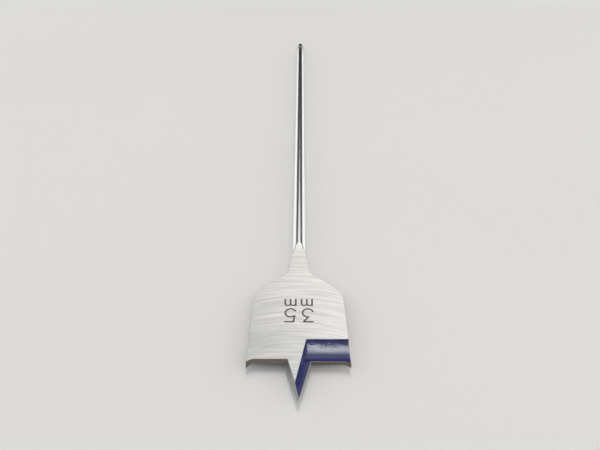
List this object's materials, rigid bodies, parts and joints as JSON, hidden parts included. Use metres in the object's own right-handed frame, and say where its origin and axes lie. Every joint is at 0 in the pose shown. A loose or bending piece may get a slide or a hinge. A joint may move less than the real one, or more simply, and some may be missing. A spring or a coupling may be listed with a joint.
{
  "type": "spade drill bit",
  "caption": "Long spade bit for boring wood: flat ground blade with a triangular point, side spurs and painted gullets on a round shank with a hexagonal end.",
  "frame": {"origin": "middle of the shank's end face, on the axis that the bit turns about", "axes": "+Y along the shank towards its hexagonal end, so the point faces -Y; the blade lies flat with its faces towards +Z and -Z, and the lip ground from the top face is on +X"},
  "size_m": [0.035, 0.4, 0.007],
  "materials": {
    "steel": "bright steel, ground across the blade and polished along the shank",
    "gullet_paint": "gloss dark blue paint in the gullets"
  },
  "bodies": {
    "root": {"spade_bit": "steel"}
  },
  "joints": []
}
